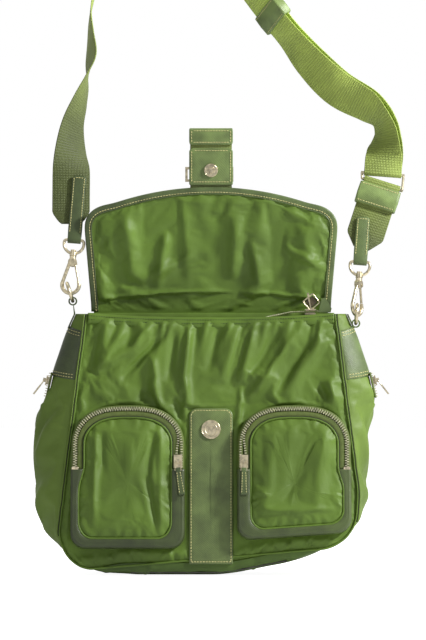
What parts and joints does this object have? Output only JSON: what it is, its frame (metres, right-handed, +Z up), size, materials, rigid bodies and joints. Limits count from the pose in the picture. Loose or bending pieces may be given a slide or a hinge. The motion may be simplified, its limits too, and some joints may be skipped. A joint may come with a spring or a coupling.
{
  "type": "messenger bag",
  "caption": "Soft shoulder bag with an open flap, zipped front pockets and a clip-on webbing strap.",
  "frame": {"origin": "centre of the flat bottom face, on the ground", "axes": "+Z up, front pockets face -Y, +X to the right seen from the front"},
  "size_m": [0.3757, 0.1559, 0.657],
  "materials": {
    "fabric": "matt nylon",
    "fabric_dark": "matt nylon",
    "lining": "matt",
    "leather": "fine grain",
    "webbing": "ribbed webbing",
    "zip_tape": "woven tape with metal teeth",
    "board": "plain board",
    "metal": "pale polished"
  },
  "bodies": {
    "bag": {"front_panel": "fabric", "back_panel": "fabric", "left_gusset": "fabric_dark", "right_gusset": "fabric_dark", "left_gusset_leather": "leather", "right_gusset_leather": "leather", "bottom_panel": "fabric_dark", "base_board": "board", "lining": "lining", "mouth_facing": "fabric_dark", "front_strap": "leather", "snap_socket": "metal", "left_pocket_face": "fabric", "right_pocket_face": "fabric", "left_pocket_surround": "leather", "right_pocket_surround": "leather", "left_pocket_zip": "zip_tape", "right_pocket_zip": "zip_tape", "main_zip": "zip_tape", "main_zip_end": "leather", "left_ring_loop": "leather", "right_ring_loop": "leather", "left_side_zip": "zip_tape", "right_side_zip": "zip_tape"},
    "flap": {"flap_panel": "fabric", "flap_lining": "fabric_dark", "flap_binding": "leather"},
    "tab": {"tab_webbing": "webbing", "tab_patch": "leather", "tab_cap": "leather", "snap_stud": "metal", "tab_frame": "metal"},
    "left_zip_slider": {"left_zip_slider": "metal"},
    "left_zip_bail": {"left_zip_bail": "metal"},
    "left_zip_pull": {"left_zip_pull": "leather"},
    "right_zip_slider": {"right_zip_slider": "metal"},
    "right_zip_bail": {"right_zip_bail": "metal"},
    "right_zip_pull": {"right_zip_pull": "leather"},
    "main_zip_slider": {"main_zip_slider": "metal"},
    "main_zip_pull": {"main_zip_pull": "metal"},
    "left_side_slider": {"left_side_slider": "metal"},
    "left_side_pull": {"left_side_pull": "metal"},
    "right_side_slider": {"right_side_slider": "metal"},
    "right_side_pull": {"right_side_pull": "metal"},
    "left_side_ring": {"left_side_ring": "metal"},
    "right_side_ring": {"right_side_ring": "metal"},
    "left_d_ring": {"left_d_ring": "metal"},
    "strap": {"strap_webbing": "webbing", "end_webbing": "webbing", "left_strap_tip": "leather", "right_strap_tip": "leather", "strap_keeper": "leather", "strap_loop": "metal"},
    "right_d_ring": {"right_d_ring": "metal"},
    "strap_slider": {"strap_slider": "leather"},
    "left_hook": {"left_hook": "metal"},
    "right_hook": {"right_hook": "metal"},
    "left_gate": {"left_gate": "metal"},
    "right_gate": {"right_gate": "metal"}
  },
  "joints": [
    {"name": "flap_fold", "type": "hinge", "parent": "bag", "child": "flap", "pos_m": [0, 0, 0.273], "axis": [1, 0, 0], "range_deg": [0, 163]},
    {"name": "tab_fold", "type": "hinge", "parent": "flap", "child": "tab", "pos_m": [0, 0.00388, 0.39105], "axis": [-1, 0, 0], "range_deg": [-8, 80]},
    {"name": "left_zip_slide", "type": "slide", "parent": "bag", "child": "left_zip_slider", "axis": [0, 0.1386, 0.9903], "range_m": [0, 0.012]},
    {"name": "left_bail_swing", "type": "hinge", "parent": "left_zip_slider", "child": "left_zip_bail", "pos_m": [-0.0328, -0.05, 0.11451], "axis": [-1, 0, 0], "range_deg": [0, 120]},
    {"name": "left_pull_swing", "type": "hinge", "parent": "left_zip_bail", "child": "left_zip_pull", "pos_m": [-0.0328, -0.05124, 0.1056], "axis": [-1, 0, 0], "range_deg": [0, 60]},
    {"name": "right_zip_slide", "type": "slide", "parent": "bag", "child": "right_zip_slider", "axis": [0, 0.1386, 0.9903], "range_m": [0, 0.012]},
    {"name": "right_bail_swing", "type": "hinge", "parent": "right_zip_slider", "child": "right_zip_bail", "pos_m": [0.0328, -0.05, 0.11451], "axis": [-1, 0, 0], "range_deg": [0, 120]},
    {"name": "right_pull_swing", "type": "hinge", "parent": "right_zip_bail", "child": "right_zip_pull", "pos_m": [0.0328, -0.05124, 0.1056], "axis": [-1, 0, 0], "range_deg": [0, 60]},
    {"name": "main_zip_slide", "type": "slide", "parent": "bag", "child": "main_zip_slider", "axis": [1, 0, 0], "range_m": [-0.024, 0]},
    {"name": "main_pull_swing", "type": "hinge", "parent": "main_zip_slider", "child": "main_zip_pull", "pos_m": [0.1, 0, 0.2675], "axis": [0, 1, 0], "range_deg": [-65, 10]},
    {"name": "left_side_slide", "type": "slide", "parent": "bag", "child": "left_side_slider", "axis": [0.2218, 0, 0.9751], "range_m": [-0.011, 0]},
    {"name": "left_side_pull_swing", "type": "hinge", "parent": "left_side_slider", "child": "left_side_pull", "pos_m": [-0.16762, 0, 0.19476], "axis": [0, 1, 0], "range_deg": [-20, 90]},
    {"name": "right_side_slide", "type": "slide", "parent": "bag", "child": "right_side_slider", "axis": [-0.2218, 0, 0.9751], "range_m": [-0.011, 0]},
    {"name": "right_side_pull_swing", "type": "hinge", "parent": "right_side_slider", "child": "right_side_pull", "pos_m": [0.16762, 0, 0.19476], "axis": [0, -1, 0], "range_deg": [-20, 90]},
    {"name": "left_ring_turn", "type": "hinge", "parent": "bag", "child": "left_side_ring", "pos_m": [-0.142, 0, 0.283], "axis": [0.953, 0, 0.303], "continuous": true},
    {"name": "right_ring_turn", "type": "hinge", "parent": "bag", "child": "right_side_ring", "pos_m": [0.1465, 0, 0.261], "axis": [0.9971, 0, -0.076], "continuous": true},
    {"name": "strap_swing", "type": "hinge", "parent": "bag", "child": "left_d_ring", "pos_m": [-0.142, 0, 0.283], "axis": [-0.9971, 0, 0.076], "range_deg": [0, 45]},
    {"name": "strap_fold", "type": "hinge", "parent": "left_d_ring", "child": "strap", "pos_m": [-0.13798, 0.01123, 0.33567], "axis": [-0.9971, 0, 0.076], "range_deg": [0, 70]},
    {"name": "right_bar_turn", "type": "hinge", "parent": "strap", "child": "right_d_ring", "pos_m": [0.15052, 0.01123, 0.31367], "axis": [-0.9971, 0, 0.076], "range_deg": [-70, 0]},
    {"name": "strap_length", "type": "slide", "parent": "strap", "child": "strap_slider", "axis": [0.6045, -0.1558, -0.7812], "range_m": [-0.01, 0.01]},
    {"name": "left_hook_turn", "type": "hinge", "parent": "left_d_ring", "child": "left_hook", "pos_m": [-0.142, 0, 0.283], "axis": [0.0744, 0.2079, 0.9753], "range_deg": [-20, 20]},
    {"name": "right_hook_turn", "type": "hinge", "parent": "right_d_ring", "child": "right_hook", "pos_m": [0.1465, 0, 0.261], "axis": [0.0744, 0.2079, 0.9753], "range_deg": [-80, 0]},
    {"name": "left_gate_open", "type": "hinge", "parent": "left_hook", "child": "left_gate", "pos_m": [-0.13686, 0.0062, 0.31184], "axis": [-0.0158, 0.9781, -0.2073], "range_deg": [0, 17], "stiffness_Nm_per_rad": 0.02},
    {"name": "right_gate_open", "type": "hinge", "parent": "right_hook", "child": "right_gate", "pos_m": [0.15035, 0.00854, 0.28944], "axis": [-0.8258, 0.561, -0.0566], "range_deg": [0, 17], "stiffness_Nm_per_rad": 0.02}
  ],
  "couplings": [
    {"joint": "right_bar_turn", "follows": "strap_fold", "ratio": -1}
  ]
}
